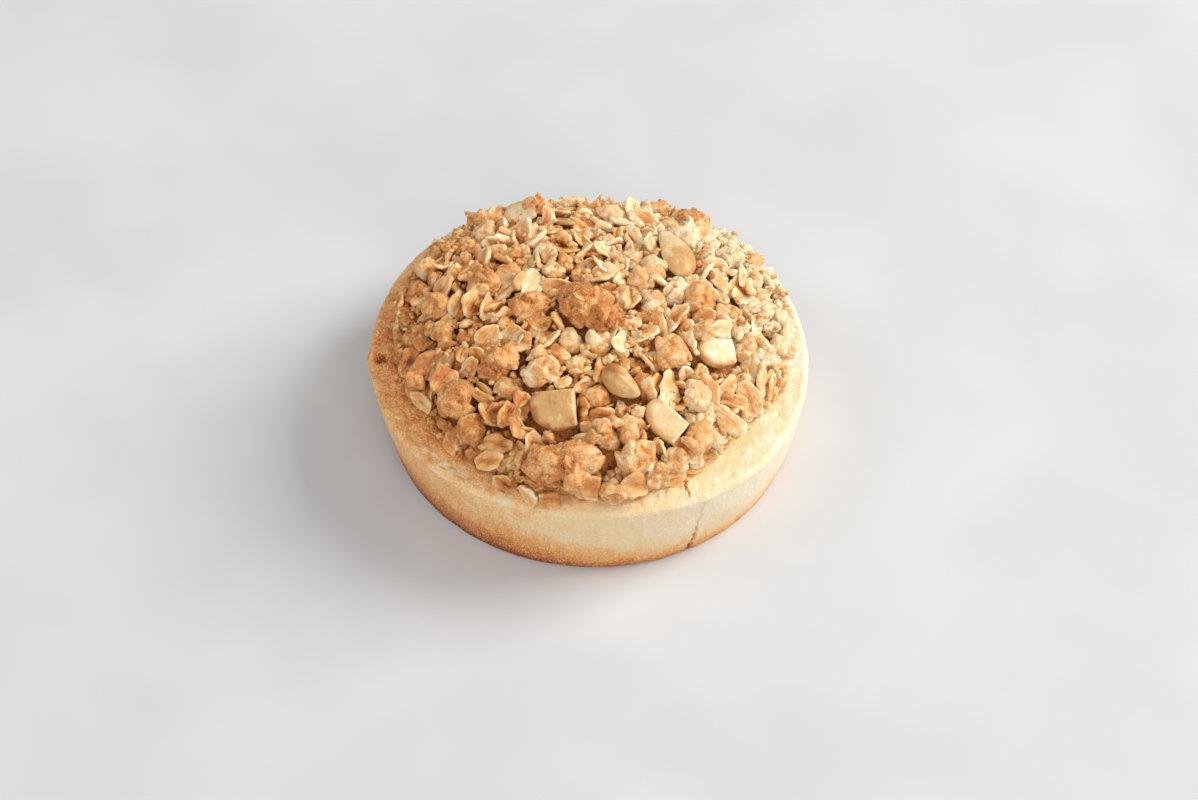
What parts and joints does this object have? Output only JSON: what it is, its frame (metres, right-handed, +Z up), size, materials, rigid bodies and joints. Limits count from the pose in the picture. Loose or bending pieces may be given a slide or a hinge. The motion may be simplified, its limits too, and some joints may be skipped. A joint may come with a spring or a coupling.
{
  "type": "apple cobbler tart",
  "caption": "Individual shortcrust tart with flared wall, solid through, under a domed heap of toasted oat flakes, dough crumbs and almond pieces; rests on its flat base",
  "frame": {"origin": "middle of the tart's footprint, on the plane it rests on", "axes": "+Z up through the heap, -Y towards the front with the crack in the pastry, +X to its right"},
  "size_m": [0.1055, 0.0993, 0.047],
  "materials": {
    "pastry": "matte",
    "crumble": "matte",
    "toasted": "matte",
    "almond": "satin"
  },
  "bodies": {
    "root": {"pastry_crust": "pastry", "oat_crumble": "crumble", "toasted_lump_top": "toasted", "toasted_lump_front": "toasted", "lump_front_right": "toasted", "lump_left": "toasted", "lump_mid_left": "toasted", "lump_pale": "toasted", "lump_flat": "toasted", "lump_right": "toasted", "lump_upper_left": "toasted", "lump_back": "toasted", "lump_back_right": "toasted", "lump_back_left": "toasted", "nut_nib": "almond", "almond_long": "almond", "almond_half": "almond", "almond_cut": "almond", "almond_white": "almond"}
  },
  "joints": []
}
